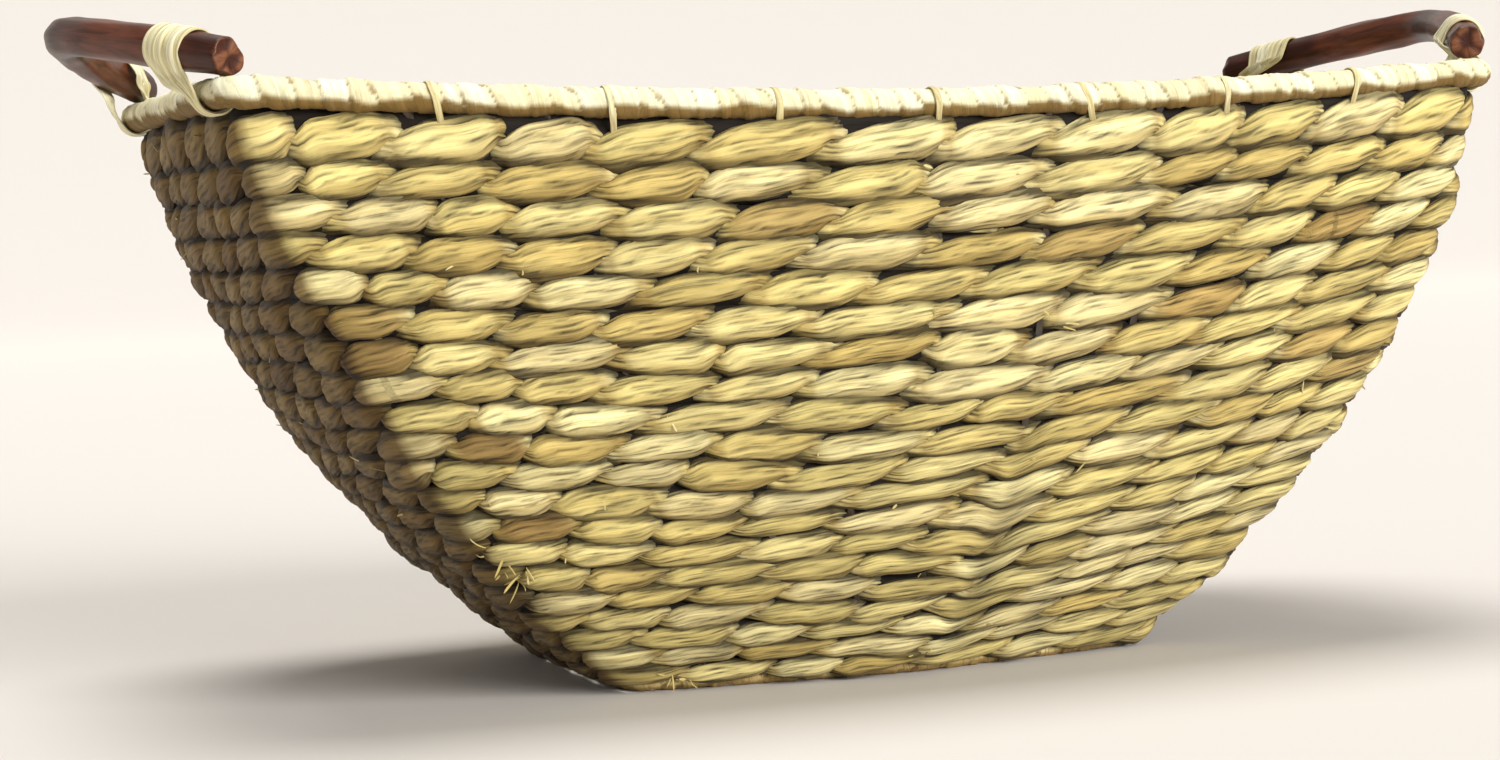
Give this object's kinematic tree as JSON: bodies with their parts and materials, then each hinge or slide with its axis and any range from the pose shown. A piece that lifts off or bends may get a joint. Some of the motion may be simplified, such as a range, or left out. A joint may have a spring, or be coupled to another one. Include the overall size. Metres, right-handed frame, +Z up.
{
  "type": "woven market basket",
  "caption": "Boat-shaped rectangular basket of thick twined plant fibre on a wire frame, with a wrapped rim and a bent stick handle lashed across each end.",
  "frame": {"origin": "centre of the base, on the surface the basket stands on", "axes": "+X along the long way to the right handle, -Y to the front, +Z up"},
  "size_m": [0.572, 0.241, 0.2443],
  "materials": {
    "twine": "matt dried plant fibre, straw to tan",
    "rim_raffia": "matt pale raffia strips",
    "lashing_raffia": "matt pale raffia",
    "stick_wood": "dark red-brown stain under gloss varnish",
    "frame_wire": "dull grey steel wire"
  },
  "bodies": {
    "root": {"rim_rod": "frame_wire", "rim_wrap": "rim_raffia", "rim_ties": "lashing_raffia", "front_stakes": "frame_wire", "back_stakes": "frame_wire", "left_end_stakes": "frame_wire", "right_end_stakes": "frame_wire", "course_01": "twine", "course_02": "twine", "course_03": "twine", "course_04": "twine", "course_05": "twine", "course_06": "twine", "course_07": "twine", "course_08": "twine", "course_09": "twine", "course_10": "twine", "course_11": "twine", "course_12": "twine", "course_13": "twine", "course_14": "twine", "course_15": "twine", "course_16": "twine", "course_17": "twine", "course_18": "twine", "course_19": "twine", "course_20": "twine", "base_braid": "twine", "base_mat": "twine", "base_hoop": "frame_wire", "base_cross_wires": "frame_wire"},
    "left_handle": {"left_handle_stick": "stick_wood", "left_front_lashing": "lashing_raffia", "left_back_lashing": "lashing_raffia"},
    "right_handle": {"right_handle_stick": "stick_wood", "right_front_lashing": "lashing_raffia", "right_back_lashing": "lashing_raffia"}
  },
  "joints": [
    {"name": "left_handle_rock", "type": "hinge", "parent": "root", "child": "left_handle", "pos_m": [-0.242, 0, 0.2125], "axis": [0, 1, 0], "range_deg": [-20, 25]},
    {"name": "right_handle_rock", "type": "hinge", "parent": "root", "child": "right_handle", "pos_m": [0.242, 0, 0.2125], "axis": [0, -1, 0], "range_deg": [-20, 25]}
  ]
}
